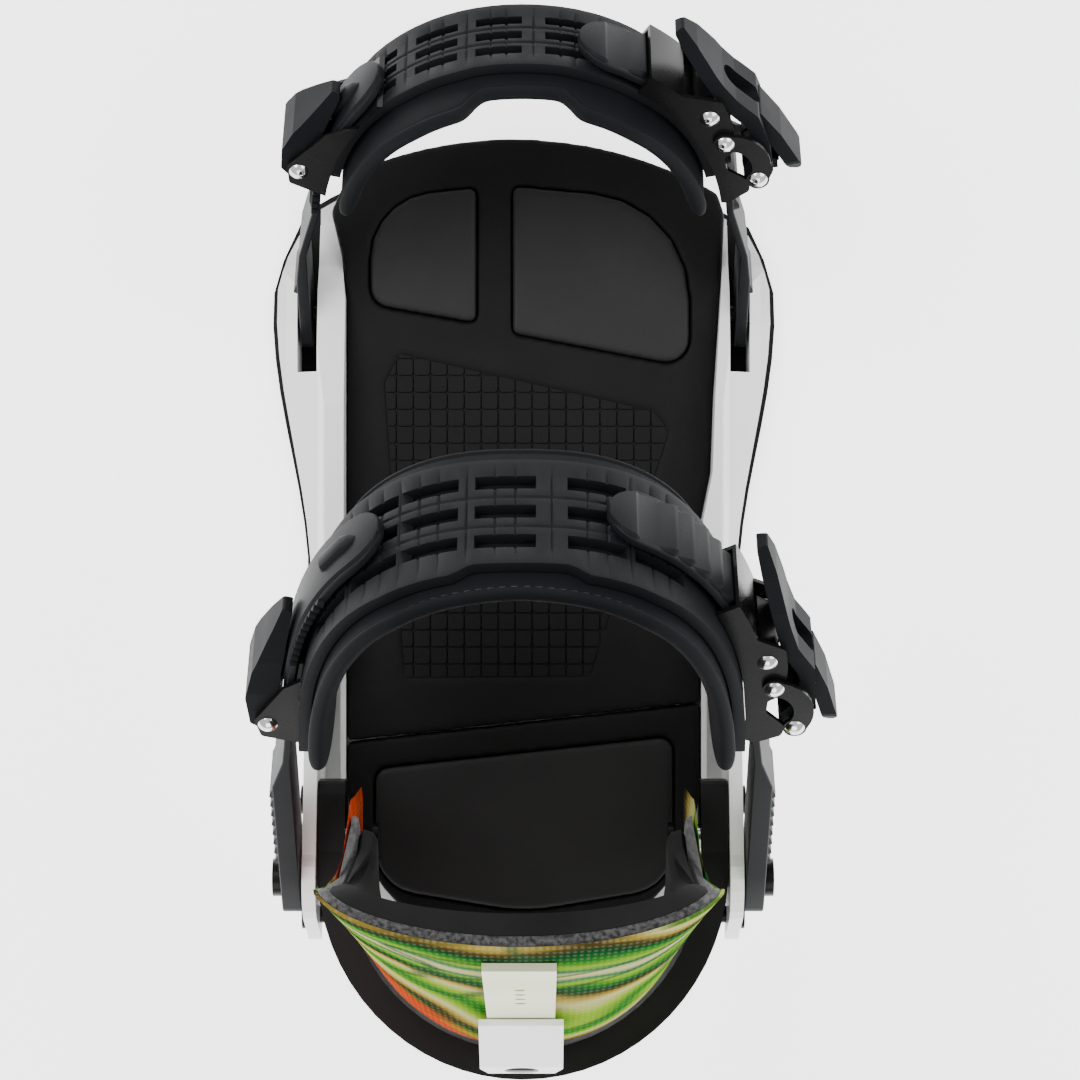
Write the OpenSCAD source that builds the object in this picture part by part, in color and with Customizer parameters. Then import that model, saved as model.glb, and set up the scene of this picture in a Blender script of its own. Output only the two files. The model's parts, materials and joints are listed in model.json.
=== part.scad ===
// A strap-in snowboard binding: baseplate, footbed, heel hoop, highback, ankle strap and toe strap.
// +Z is up from the board, +Y points to the toes, +X to the right.
// The origin is the centre of the mounting disc on the face that meets the board.

/* [Baseplate] */
// half width of the baseplate at the heel side walls
wall_x = 63.5; // [62.5:0.5:64.5]
// thickness of the soft pad under the baseplate
pad_t = 3; // [2:0.5:3]
// height of the footbed's top face
footbed_top = 20; // [18:0.5:21]
// radius of the mounting disc's flange
disc_r = 48; // [44:1:49]
// spacing of the four board screw holes
hole_pitch = 40; // [36:1:42]

/* [Highback] */
// height of the highback's top edge
highback_top = 250; // [235:1:255]
// thickness of the highback's stiff shell
shell_t = 2.6; // [2:0.1:3]
// how far the lean block can slide up its track
lean_travel = 12; // [6:1:14]

/* [Straps] */
// height of the ankle strap's arch above its lowest shell edge
ankle_rise = 76.5; // [70:0.5:78]
// height of the toe strap's arch above its lowest shell edge
toe_rise = 58; // [54:0.5:60]
// thickness of the straps' ventilated shells
strap_shell_t = 3.2; // [2.6:0.1:3.4]
// thickness of the straps' inner pads
strap_pad_t = 6.5; // [5:0.5:7]

/* [Show] */
// name of the piece to show, or all of them

/* [Hidden] */
$fn = 48;
gap = 0.3;          // clear space between neighbouring pieces
fit = 0.05;         // radial clearance of a pin in its bore
far = 200;          // longer than any piece a cutting body passes through

white = [0.9, 0.9, 0.88];
black = [0.12, 0.13, 0.13];
metal = [0.3, 0.3, 0.29];
silver = [0.75, 0.75, 0.74];

// baseplate heights
floor_top = pad_t + 6;
flange_z = pad_t + 2.5;
rail_top = footbed_top + 12;
wall_t = 3.9;
wall_in = wall_x - wall_t;
footbed_x = 52.8;
heel_y = -72;              // centre of the footbed's round heel end

// toe end of the footbed: one wide arc
toe_arc_r = 122;
toe_arc_c = [-3, -2];

// heel hoop
hoop_c = -93;
hoop_out = wall_in - gap;
hoop_in = 51.5;
hoop_rear_top = 75;

// highback sections, from the hoop's level up to the top edge
low_z = 75;
pivot = [-88, 47];
lean = atan((143 - 94) / (250 - low_z));
felt_t = 1.4;              // depth of the felt layer, with the clear space behind it

// lean block: its lower end and its length along the track
block_z = 43;
block_h = 37;

// straps: [pivot y, pivot z, pitch, arch start, half width, rise, roundness]
ankle = [-98, 47, 44, 70, 60.5, ankle_rise, 2.5];
toe = [68, 14.5, 47, 45, 57, toe_rise, 2.1];
ladder_w = 20;
ladder_in = 1.6;
ladder_t = 2.2;
tooth_h = 1.1;
tooth_pitch = 5.4;
tooth_half = 8;
plate_w = ladder_w / 2 + 0.6;  // inner face of a buckle's side plates
plate_t = 1.3;
pin_r = 1.5;

// ---- outlines -------------------------------------------------------------------------------

function unit(v) = v / norm(v);
function turned(v, a) = [v.x * cos(a) - v.y * sin(a), v.x * sin(a) + v.y * cos(a)];
function flip(p) = [for (i = [len(p) - 1:-1:0]) p[i]];
function mirrored(p) = flip([for (q = p) [-q.x, q.y]]);

// the arc that rounds corner b between its neighbours a and c
function corner(a, b, c, r, k) =
    let (d1 = unit(a - b), d2 = unit(c - b), half = acos(d1 * d2) / 2)
    let (m = b + unit(d1 + d2) * r / sin(half), s = b + d1 * r / tan(half) - m)
    let (side = sign((b - a).x * (c - b).y - (b - a).y * (c - b).x))
    [for (i = [0:k]) m + turned(s, side * (180 - 2 * half) * i / k)];

// a polygon's points with every corner rounded to r, or each to its own radius in a list
function rounded(p, r, k = 5) =
    let (n = len(p))
    [for (i = [0:n - 1]) each corner(p[(i + n - 1) % n], p[i], p[(i + 1) % n],
                                     is_list(r) ? r[i] : r, k)];

// an outline drawn in by d on every side of its box
function shrunk(p, d) =
    let (xs = [for (q = p) q.x], ys = [for (q = p) q.y])
    let (c = [max(xs) + min(xs), max(ys) + min(ys)] / 2)
    let (kx = 1 - 2 * d / (max(xs) - min(xs)), ky = 1 - 2 * d / (max(ys) - min(ys)))
    [for (q = p) [c.x + (q.x - c.x) * kx, c.y + (q.y - c.y) * ky]];

function arc(c, r, a0, a1, k) = [for (i = [0:k]) c + r * [cos(a0 + (a1 - a0) * i / k),
                                                          sin(a0 + (a1 - a0) * i / k)]];

// a closed ring of section points lofted through its stations
module loft(stations) {
    n = len(stations[0]);
    m = len(stations);
    sides = [for (i = [0:m - 2]) for (j = [0:n - 1])
        [i * n + j, i * n + (j + 1) % n, (i + 1) * n + (j + 1) % n, (i + 1) * n + j]];
    ends = [[for (j = [n - 1:-1:0]) j], [for (j = [0:n - 1]) (m - 1) * n + j]];
    polyhedron([for (s = stations) each s], concat(sides, ends));
}

// a flat outline in the YZ plane, thickened from x0 to x1
module from_side(p, x0, x1) {
    translate([x0, 0, 0]) rotate([90, 0, 90]) linear_extrude(x1 - x0) polygon(p);
}

// a bar along X between two faces
module bar_x(x0, x1, y, z, r) {
    translate([x0, y, z]) rotate([0, 90, 0]) cylinder(h = x1 - x0, r = r);
}

module both_sides() {
    children();
    mirror([1, 0, 0]) children();
}

// ---- baseplate -----------------------------------------------------------------------------

// how far the baseplate's edge swells outward beside the toe strap's slots
swell = 11;
function edge_x(y) = wall_x + (y < 70 ? swell * (1 - cos(180 * max(0, y + 15) / 85)) / 2
                                      : swell - 8 * (1 - cos(90 * (y - 70) / 25)));

// right edge of the baseplate from its round heel to the toe, grown outward by d
function base_side(d) = [for (y = [-20, -5, 5, 15, 25, 35, 45, 55, 65, 75, 85, 95])
    [edge_x(y) + d, y]];

function base_outline(d) = concat(
    arc([0, heel_y], wall_x + d, -90, 0, 12),
    base_side(d),
    arc(toe_arc_c, toe_arc_r - 4 + d, 58, 122, 14),
    flip(mirrored(flip(base_side(d)))),
    arc([0, heel_y], wall_x + d, 180, 262.5, 11));

module base_pad() {
    color(black) difference() {
        linear_extrude(pad_t) polygon(base_outline(1.8));
        translate([0, 0, -1]) cylinder(h = pad_t + 2, r = disc_r - 2);
    }
}

// the part of the side rail that slopes out to the toe strap's slot
module side_rail() {
    intersection() {
        linear_extrude(far) polygon(concat([[52, -40], [edge_x(-40) - 0.5, -40]], base_side(-0.5), [[52, 95]]));
        translate([0, far / 2, 0]) rotate([90, 0, 0]) linear_extrude(far) polygon(rounded(
            [[45, pad_t + gap], [80, pad_t + gap], [80, 13], [71, 19], [61, rail_top - 4],
             [59, rail_top], [45, rail_top]], 1));
        from_side([[-39.9, 0], [-39.9, rail_top], [40, rail_top], [74, rail_top - 8],
                   [82, floor_top + 8], [94.9, floor_top + 2], [94.9, 0]], 40, 90);
    }
}

module heel_wall() {
    from_side(concat([[-80, floor_top - 1], [-20, floor_top - 1], [-20, rail_top - 3], [-44, 46]],
                     arc([-98, 47], 13, 55, 150, 6), [[-118, 30]]), wall_in, wall_x);
}

module chassis() {
    color(white) difference() {
        union() {
            difference() {
                translate([0, 0, pad_t + gap]) linear_extrude(floor_top - pad_t - gap)
                    polygon(base_outline(-0.5));
                translate([0, 0, flange_z]) cylinder(h = far, r = disc_r + gap);
            }
            both_sides() {
                side_rail();
                heel_wall();
                translate([footbed_x + gap, -98, floor_top - 1]) cube([1.6, 70, 12]);
            }
        }
        // room for the footbed between the rails
        translate([0, 0, floor_top]) linear_extrude(far) polygon(footbed_outline(gap));
        translate([0, 0, -1]) cylinder(h = far, r = disc_r - 4 + fit);
        both_sides() {
            translate([wall_x - 2.2, 50, -1]) cube([6.2, 50, far]);
            bar_x(wall_x - 4.8, wall_x + 20, toe[0], toe[1], pin_r + 1 + fit);
            bar_x(40, 80, ankle[0], ankle[1], 3 + fit);
            for (s = hoop_screw_at) bar_x(40, 80, s.x, s.y, 2.5 + fit);
        }
    }
}

module mounting_disc() {
    color([0.2, 0.2, 0.2]) difference() {
        union() {
            cylinder(h = flange_z + 1, r = disc_r - 4);
            translate([0, 0, flange_z + 0.05]) cylinder(h = 3, r = disc_r);
        }
        for (x = [-1, 1], y = [-1, 1]) translate([x, y, 0] * hole_pitch / 2) {
            translate([0, 0, -1]) cylinder(h = far, r = 3.25);
            translate([0, 0, flange_z]) cylinder(h = far, r = 6);
        }
    }
}

// ---- footbed -------------------------------------------------------------------------------

// the whole footbed seen from above, grown outward by d
function footbed_outline(d) = concat(
    arc([0, heel_y], footbed_x + d, -90, 0, 12),
    [[footbed_x + d, 6], [55.6 + d, 20], [56.4 + d, 42], [58.4 + d, 72], [60.2 + d, 97]],
    arc(toe_arc_c, toe_arc_r + d, 60, 114, 14),
    [[-57.6 - d, 98], [-54.2 - d, 85], [-footbed_x - d, 72]],
    arc([0, heel_y], footbed_x + d, 180, 262.5, 11));

function seam_y(x) = -54.6 + 0.11 * x;

small_pad = rounded([[-46, 70.3], [-46, 102], [-13.8, 105.6], [-13.8, 64.6]], [6, 20, 2, 2]);
large_pad = rounded([[-3.6, 61.6], [-3.6, 106], [49.8, 101], [49.8, 51.4]], [2, 2, 32, 7]);
heel_pad_shape = rounded([[-44.6, -68.3], [45, -58.5], [45, -104], [0, -111.5], [-44.6, -104]],
                         [4, 4, 14, 60, 14]);
grid_shape = rounded([[-37.4, 56.2], [39, 39], [44, 32.9], [20, -41], [-36, -41.5], [-42, 47]], 3);
cushion_depth = 3;

module in_footbed(p, depth) {
    translate([0, 0, footbed_top - depth]) linear_extrude(far) polygon(p);
}

module footbed_slab(front) {
    side = front ? 1 : -1;
    intersection() {
        translate([0, 0, floor_top + 0.1]) linear_extrude(footbed_top - floor_top - 0.1)
            polygon(footbed_outline(0));
        linear_extrude(far) polygon([[-far, seam_y(-far) + side * gap], [far, seam_y(far) + side * gap],
                                     [far, side * far], [-far, side * far]]);
    }
}

module footbed_front() {
    color(black) difference() {
        footbed_slab(true);
        in_footbed(small_pad, cushion_depth);
        in_footbed(large_pad, cushion_depth);
        in_footbed(grid_shape, 0.8);
    }
}

module footbed_heel() {
    color(black) difference() {
        footbed_slab(false);
        in_footbed(heel_pad_shape, cushion_depth);
    }
}

// a cushion that fills its recess and stands a little proud of the footbed
module pad_in(p) {
    color([0.18, 0.18, 0.18]) translate([0, 0, footbed_top - cushion_depth + 0.05])
        linear_extrude(cushion_depth + 0.7) polygon(shrunk(p, gap));
}

module toe_pad_small() {
    pad_in(small_pad);
}

module toe_pad_large() {
    pad_in(large_pad);
}

module heel_pad() {
    pad_in(heel_pad_shape);
}

// ---- heel hoop -----------------------------------------------------------------------------

hoop_screw_at = [[-76, 40], [-110, 36]];

module heel_hoop() {
    front = -70;
    color(black) difference() {
        intersection() {
            linear_extrude(far) difference() {
                polygon(concat(arc([0, hoop_c], hoop_out, -180, 0, 32), [[hoop_out, front],
                               [-hoop_out, front]]));
                polygon(concat(arc([0, hoop_c], hoop_in, -180, 0, 32), [[hoop_in, front + 1],
                               [-hoop_in, front + 1]]));
            }
            from_side(concat(arc([-77, 43], 9, -90, 90, 8), [[-90, 54], [-153, hoop_rear_top],
                             [-153, hoop_rear_top - 12], [-112, 30], [-98, 31]]), -far, far);
        }
        both_sides() {
            bar_x(40, 80, ankle[0], ankle[1], 3 + fit);
            bar_x(40, 80, pivot.x, pivot.y, 3 + fit);
            for (s = hoop_screw_at) bar_x(54, 80, s.x, s.y, 2.5 + fit);
        }
    }
}

module hoop_screws() {
    color(metal) both_sides() for (s = hoop_screw_at) {
        bar_x(54.5, wall_x + 0.5, s.x, s.y, 2.5);
        difference() {
            bar_x(wall_x + 0.1, wall_x + 1.4, s.x, s.y, 4.2);
            bar_x(wall_x + 0.6, wall_x + 2, s.x, s.y, 1.6);
        }
    }
}

// ---- highback ------------------------------------------------------------------------------

function level(z) = max(0, (z - low_z) / (250 - low_z));
function half_sweep(z) = lookup(z, [[40, 117], [90, 117], [120, 97], [160, 86], [250, 75]]);
function low_edge(q) = lookup(abs(q), [[0, 63], [0.45, 60], [0.75, 40], [1, 36]]);
function high_edge(q) = highback_top - 12 * pow(abs(q), 6);

// a point of the highback: q runs -1..1 across it, z is the height, d the depth from its back face;
// past a quarter turn each side carries on straight forward as a wing
function back_point(q, z, d) =
    let (f = level(z), p = abs(q) * half_sweep(z), b = 48 - 29 * f - d)
    [sign(q) * (48 + 1.7 * f - d) * sin(min(p, 90)),
     -95 + 20 * f + b * (p < 90 ? -cos(p) : (p - 90) * PI / 180), z];

// a layer of the highback between depths d0 and d1, from the lowest edge z0 up to z1 below the top
module back_layer(d0, d1, q_edge, z0, drop) {
    across = 24;
    up = 14;
    function row(i, d) = [for (j = [0:up])
        let (q = q_edge * (2 * i / across - 1))
        let (a = max(low_edge(q), z0 + 10 * pow(abs(q), 4)), b = high_edge(q) - drop)
        back_point(q, a + (b - a) * j / up, d)];
    loft([for (i = [0:across]) concat(row(i, d0), flip(row(i, d1)))]);
}

module highback_shell() {
    color([0.45, 0.7, 0.2]) difference() {
        back_layer(0, shell_t, 1, 0, 0);
        both_sides() bar_x(30, 60, pivot.x, pivot.y, 3 + fit);
    }
}

module highback_felt() {
    color([0.42, 0.42, 0.42]) back_layer(shell_t + gap, shell_t + felt_t, 0.99, 86, 0.5);
}

module highback_foam() {
    color(black) back_layer(shell_t + felt_t + gap, shell_t + 6, 0.98, 90, 0.2);
}

module highback_pivots() {
    color(metal) both_sides() {
        bar_x(43.5, hoop_out - 0.4, pivot.x, pivot.y, 3);
        bar_x(42, 43.6, pivot.x, pivot.y, 6);
    }
}

module pivot_spacers() {
    color(silver) both_sides() difference() {
        bar_x(48.2, hoop_in - 0.15, pivot.x, pivot.y, 5.5);
        bar_x(40, 60, pivot.x, pivot.y, 3 + fit);
    }
}

// the frame of the lean adjuster: z runs up the highback's back, -y points away from it
module on_back() {
    translate([0, -143, low_z]) rotate([-lean, 0, 0]) children();
}

module lean_track() {
    color([0.85, 0.88, 0.75]) on_back() difference() {
        translate([-8.8, -2.2, 6]) cube([17.6, 2, 146 + lean_travel]);
        for (i = [0:3]) translate([0, 1, 108 + 8 * i]) rotate([90, 0, 0]) cylinder(h = 9, r = 1.4);
    }
}

// the block is a wedge: thin at its upper end, with the screw in its thick lower end
module lean_block() {
    color(white) on_back() translate([0, 0, block_z]) difference() {
        intersection() {
            translate([0, -2.5, 0]) rotate([90, 0, 0]) linear_extrude(12) polygon(
                [[-8, 0], [8, 0], [11, 11], [11, block_h], [-11, block_h], [-11, 11]]);
            from_side([[-2.5, 0], [-12, 0], [-12.6, 3], [-12.2, 14], [-4.2, block_h], [-2.5, block_h]],
                      -20, 20);
        }
        translate([0, -far / 2, 8]) rotate([-90, 0, 0]) cylinder(h = far, r = 2 + fit);
        translate([0, -7.5, 8]) rotate([90, 0, 0]) cylinder(h = 9, r = 4.6);
    }
}

module lean_screw() {
    color([0.1, 0.1, 0.1]) on_back() translate([0, 0, block_z + 8]) difference() {
        union() {
            translate([0, -2.6, 0]) rotate([90, 0, 0]) cylinder(h = 6, r = 2);
            translate([0, -7.6, 0]) rotate([90, 0, 0]) cylinder(h = 3.4, r = 4.4);
        }
        for (a = [0, 90]) translate([0, -11, 0]) rotate([0, a, 0]) cube([5.6, 2.4, 1.4], center = true);
    }
}

// ---- straps --------------------------------------------------------------------------------

// the frame of a strap: x across the binding, y up along its plane, z across its width
module on(strap) {
    translate([0, strap[0], strap[1]]) rotate([strap[2], 0, 0]) children();
}

// a point of the strap's arch at angle t, off millimetres outside its outer face
function arch(strap, t, off) =
    let (a = strap[4], b = strap[5], n = strap[6], c = cos(t), s = abs(sin(t)))
    let (cu = sign(c) * pow(abs(c), 2 / n), sv = pow(s, 2 / n))
    [a * cu, strap[3] + b * sv]
        + off * unit([sign(c) * pow(abs(cu), n - 1) / a, pow(sv, n - 1) / b]);

function run(strap, t0, t1, off, k) = [for (i = [0:k]) arch(strap, t0 + (t1 - t0) * i / k, off)];

function band(strap, t0, t1, inner, outer, k) =
    concat(run(strap, t0, t1, outer, k), flip(run(strap, t0, t1, inner, k)));

// the strap's width outline, looking along its plane: a narrower front edge and a notched rear edge
function width_outline(half, front, rear, notch) = concat(
    [[-70, -front + 6], [-half * 0.75, -front], [half * 0.75, -front], [70, -front + 6]],
    [[70, rear - 5], [half * 0.6, rear], [18, rear], [13, rear - notch], [-13, rear - notch],
     [-18, rear], [-half * 0.6, rear], [-70, rear - 5]]);

// a width outline whose rear edge dips smoothly towards the middle of the strap
function dipped_outline(half, front, rear, dip) = concat(
    [[-70, -front + 6], [-half * 0.75, -front], [half * 0.75, -front], [70, -front + 6]],
    [[70, rear - 2], [half * 0.84, rear], [half * 0.42, rear - dip * 0.6], [0, rear - dip],
     [-half * 0.42, rear - dip * 0.6], [-half * 0.84, rear], [-70, rear - 2]]);

module across_strap(p) {
    rotate([-90, 0, 0]) translate([0, 0, -50]) linear_extrude(260) polygon([for (q = p) [q.x, -q.y]]);
}

// one window through the shell: turned square to the arch at angle t
module window(strap, t, w, size) {
    p = arch(strap, t, 0);
    n = arch(strap, t, 1) - p;
    translate([p.x, p.y, w]) rotate([0, 0, atan2(n.y, n.x)])
        cube([4 * strap_shell_t, size.x, size.y], center = true);
}

module strap_shell(strap, reach, outline, columns, rows, size) {
    color(black) on(strap) difference() {
        intersection() {
            translate([0, 0, -40]) linear_extrude(80)
                polygon(band(strap, reach, 180 - reach, -strap_shell_t, 0, 40));
            across_strap(outline);
        }
        for (t = columns, w = rows) window(strap, t, w, size);
    }
}

module strap_pad(strap, reach, outline) {
    color(black) on(strap) intersection() {
        translate([0, 0, -45]) linear_extrude(90) polygon(band(strap, reach, 180 - reach,
            -strap_shell_t - strap_pad_t, -strap_shell_t - gap, 36));
        across_strap(outline);
    }
}

// the ladder's faces: the inner one, and the outer one that is thicker from its bolt up to v = low_v
function ladder_inner(strap, x0, t_end) = concat([[x0, 0], [x0, 14]], run(strap, 3, t_end, ladder_in, 16));
function ladder_outer(strap, x0, t_end, low_t, low_v) =
    concat([[x0 + low_t, 0], [x0 + low_t, low_v], [x0 + ladder_t, low_v + 10]],
           run(strap, 3, t_end, ladder_in + ladder_t, 16));

// teeth along the arch from angle t0 to t1
function teeth(strap, t0, t1) =
    let (n = round(strap[5] * (t1 - t0) / 57.3 / tooth_pitch))
    [for (i = [0:n - 1]) each
        [arch(strap, t0 + (t1 - t0) * i / n, ladder_in + ladder_t),
         arch(strap, t0 + (t1 - t0) * (i + 0.5) / n, ladder_in + ladder_t + tooth_h)]];

// the tongue's outline across the strap: straight sides and a round tip
module tongue_outline(tip) {
    rotate([-90, 0, 0]) translate([0, 0, -20]) linear_extrude(far) polygon(concat(
        [[90, -ladder_w / 2]], arc([tip.x + ladder_w / 2, 0], ladder_w / 2, -90, -270, 12),
        [[90, ladder_w / 2]]));
}

module ladder(strap, side, x0, t_end, low_t, low_v, bore) {
    color(black) on(strap) mirror([side < 0 ? 1 : 0, 0, 0]) difference() {
        union() {
            intersection() {
                translate([0, 0, -ladder_w / 2]) linear_extrude(ladder_w) polygon(concat(
                    ladder_outer(strap, x0, t_end, low_t, low_v), flip(ladder_inner(strap, x0, t_end))));
                tongue_outline(arch(strap, t_end, ladder_in));
            }
            translate([0, 0, -tooth_half]) linear_extrude(2 * tooth_half) polygon(concat(
                teeth(strap, 6, t_end - 9), flip(run(strap, 6, t_end - 9, ladder_in + 1, 16))));
            bar_x(x0, x0 + low_t, 0, 0, ladder_w / 2);
        }
        bar_x(x0 - 5, x0 + 15, 0, 0, bore);
    }
}

// ---- buckles -------------------------------------------------------------------------------

// where each strap's hardware sits: [x, y, turn] of its first pin in the strap's frame
ankle_ratchet = [65.5, 102.2, 0];
toe_ratchet = [52.3, 85.2, 15];
ankle_adjuster = [69, 78, 0];
toe_adjuster = [63.5, 66, 12];

// the stretch of each strap's arch under its ratchet's cover
ankle_cover = [26, 36];
toe_cover = [46, 57];

link_pin = [2.2, -9];
lever_pin = [8.5, -24];
sleeve_r = 2.2;

module at(strap, place, side = 1) {
    on(strap) mirror([side < 0 ? 1 : 0, 0, 0]) translate([place[0], place[1], 0])
        rotate([0, 0, place[2]]) children();
}

// a flat outline made into a plate pair, or a full block when inner is zero
module plates(p, inner, outer) {
    if (inner == 0) {
        translate([0, 0, -outer]) linear_extrude(2 * outer) polygon(p);
    } else {
        for (z = [inner, -outer]) translate([0, 0, z]) linear_extrude(outer - inner) polygon(p);
    }
}

module pin(p, half, r) {
    translate([p.x, p.y, -half]) cylinder(h = 2 * half, r = r);
}

// a rivet with a domed head at each end
module rivet(p, half) {
    pin(p, half, pin_r);
    for (s = [-1, 1]) translate([p.x, p.y, 0]) mirror([0, 0, s < 0 ? 1 : 0]) translate([0, 0, half])
        intersection() {
            cylinder(h = 2, r = 2.7);
            translate([0, 0, -2.1]) sphere(3.4);
        }
}

// the buckle's folded sheet frame: two side plates joined by a floor that follows the strap
module buckle_frame(strap, place, side, outline, y0, y1, bores) {
    color(metal) difference() {
        union() {
            at(strap, place, side) plates(outline, plate_w, plate_w + plate_t);
            on(strap) mirror([side < 0 ? 1 : 0, 0, 0]) intersection() {
                translate([0, 0, -plate_w - 0.5]) linear_extrude(2 * plate_w + 1)
                    polygon(band(strap, 4, 80, gap, gap + 1, 16));
                translate([0, y0, -50]) cube([100, y1 - y0, 100]);
            }
        }
        on(strap) translate([0, 0, -50]) linear_extrude(100)
            polygon(concat(run(strap, 0, 180, gap, 40), [[-50, -20], [50, -20]]));
        at(strap, place, side) for (b = bores) pin([b.x, b.y], 30, b.z);
    }
}

ratchet_plate = rounded([[-15, 6], [-9, 11.4], [4.8, 4.6], [5.6, -2], [5.2, -12.4], [0.8, -15],
                         [0.6, -19.5], [6, -25], [5, -28.6], [-2, -31.4], [-15, -26]], 1.6);

// the ratchet's frame carries a cover over the ladder, from angle cover[0] to cover[1] of the arch
module ratchet_frame(strap, place, cover) {
    cover_out = 7;
    buckle_frame(strap, place, 1, ratchet_plate, place[1] - 29, place[1] + 9,
        [[0, 0, pin_r + fit], [link_pin.x, link_pin.y, sleeve_r + fit]]);
    color(metal) on(strap) {
        plates(band(strap, cover[0] - 3, cover[1], gap, cover_out, 12), plate_w, plate_w + plate_t);
        plates(band(strap, cover[0], cover[1], cover_out - 1.1, cover_out, 12), 0, plate_w + 0.3);
    }
}

// the link: two curved arms that bow outward between its pins, joined by a sleeve
module ratchet_link(strap, place) {
    bow = 5;
    half_w = 2.7;
    span = lever_pin - link_pin;
    r = (norm(span) * norm(span) / 4 + bow * bow) / (2 * bow);
    c = (link_pin + lever_pin) / 2 + (r - bow) * unit([span.y, -span.x]);
    a0 = atan2(link_pin.y - c.y, link_pin.x - c.x);
    a1 = atan2(lever_pin.y - c.y, lever_pin.x - c.x);
    arm = concat(arc(c, r + half_w, a0, a1, 12), arc(c, r - half_w, a1, a0, 12));
    arm_z = plate_w + plate_t + 0.25;
    color(metal) at(strap, place) difference() {
        union() {
            plates(arm, arm_z, arm_z + 1.2);
            for (q = [link_pin, lever_pin], z = [arm_z, -arm_z - 1.2]) translate([q.x, q.y, z])
                cylinder(h = 1.2, r = half_w + 0.5);
            pin(link_pin, arm_z + 0.1, sleeve_r);
        }
        pin(link_pin, 30, pin_r + fit);
        pin(lever_pin, 30, pin_r + fit);
    }
}

// a lever's outline looking square at its handle, cut through its depth; each point of the leaf is
// [height, half width]
module leaf_block(leaf) {
    rotate([0, 90, 0]) translate([0, 0, -20]) linear_extrude(60)
        polygon([for (q = concat(leaf, flip([for (p = leaf) [p.x, -p.y]]))) [q.y, q.x]]);
}

// the lever's profiles along its pin: a handle that rises to reach above the first pin, an arm each
// side that bends down to the lever's own pin, and a tail that carries on past the bend
function handle_profile(reach) = rounded([[-4, reach], [-1.2, reach + 1.2], [1.5, reach * 0.78 + 1.2],
    [3.8, reach * 0.52 + 1.1], [5.9, reach * 0.27 + 1.2], [8.3, 2.8], [13, -4.6], [13.6, -10],
    [9.6, -10], [8.6, -6.6], [4.2, 0.7], [2, reach * 0.27], [-0.1, reach * 0.52],
    [-2.4, reach * 0.78]], 0.9);
arm_profile = rounded([[9.4, -9], [13.4, -9], [13.8, -16], [13, -24.6], [10.6, -28.2], [6.6, -28.2],
                       [4.3, -25.6], [4.9, -21.6], [8.4, -17.6]], 1.2);
tail_profile = rounded([[10, -9], [13, -5], [17.4, -15.5], [20.8, -27.6], [19.8, -31], [17, -29],
                        [13.8, -18]], 1);

module ratchet_lever(strap, place, reach) {
    half_w = 9.8;
    leaf = concat([[-40, half_w], [0, half_w], [reach * 0.45, 8.6], [reach * 0.78, 5.8]],
                  arc([reach - 1.6, 0], 3.4, 60, 8, 4));
    // the drum between the arms, with four cam teeth
    drum = concat([for (i = [0:7]) let (a = 7 - 13 * i, r = i % 2 == 0 ? 4.2 : 6.4)
                   lever_pin + r * [cos(a), sin(a)]], arc(lever_pin, 4.2, -97, -329, 12));
    slot = concat(arc([-3, 0], 3.4, 172, 90, 6), arc([4, 0], 3.4, 90, 8, 6));
    color(black) at(strap, place) difference() {
        union() {
            intersection() {
                union() {
                    plates(handle_profile(reach), 0, half_w + 2);
                    plates(arm_profile, 5.2, half_w + 2);
                }
                leaf_block(leaf);
            }
            intersection() {
                plates(tail_profile, 0, 6.4);
                leaf_block([[-40, 2.2], [-30.5, 3.8], [-27, 6.1], [-20, 8], [0, 8]]);
            }
            plates(drum, 0, 5.6);
        }
        pin(lever_pin, 30, pin_r + fit);
        leaf_block(slot);
    }
}

module ratchet_pawl(strap, place) {
    color(metal) at(strap, place) difference() {
        union() {
            plates([[-2, -0.5], [-3.3, 5.2], [-2.2, 5.6], [2.2, 3], [2.1, 0], [0.9, -4.4], [0, -4.2]],
                   0, 8);
            pin([0, 0], 8, sleeve_r);
        }
        pin([0, 0], 30, pin_r + fit);
    }
}

module ratchet_rivets(strap, place) {
    color(silver) at(strap, place) {
        rivet([0, 0], plate_w + plate_t + 0.1);
        rivet(link_pin, plate_w + plate_t + 1.5);
    }
}

module lever_rivet(strap, place) {
    color(silver) at(strap, place) rivet(lever_pin, plate_w + plate_t + 1.5);
}

module pawl_spring(strap, place) {
    color(silver) at(strap, place) for (s = [-1, 1]) translate([0, 0, s * 9.3 - 0.4])
        rotate_extrude() for (i = [0, 1]) translate([2.25, 0.75 * i]) circle(r = 0.5);
}

adjuster_plate = rounded([[-15, -9], [2, -4.5], [3.6, 1.5], [-5, 14], [-15, 20]], 1.4);

module adjuster_bracket(strap, place) {
    buckle_frame(strap, place, -1, adjuster_plate, place[1] - 8, place[1] + 23,
        [[0, 0, pin_r + fit]]);
}

// the adjuster's lever is a claw that leans over the tongue and ends in a point
module adjuster_lever(strap, place, reach) {
    half_w = 10.2;
    claw = rounded([[-3, -3], [-3.2, reach * 0.18], [-4.3, reach * 0.5], [-6.1, reach * 0.76], [-8, reach],
                    [-5.6, reach + 1.5], [-0.6, reach * 0.76], [3.6, reach * 0.5], [5.8, reach * 0.25],
                    [5, -1], [0.6, -4.4]], 0.9);
    leaf = [[-20, half_w], [reach * 0.3, half_w], [reach * 0.6, 8.4], [reach * 0.85, 5.4],
            [reach + 2, 2]];
    color(black) at(strap, place, -1) intersection() {
        difference() {
            plates(claw, 0, half_w);
            pin([0, 0], 30, pin_r + fit);
        }
        leaf_block(leaf);
    }
}

module adjuster_pin(strap, place) {
    color(silver) at(strap, place, -1) rivet([0, 0], plate_w + plate_t + 0.1);
}

// ---- the two straps ------------------------------------------------------------------------

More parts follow.
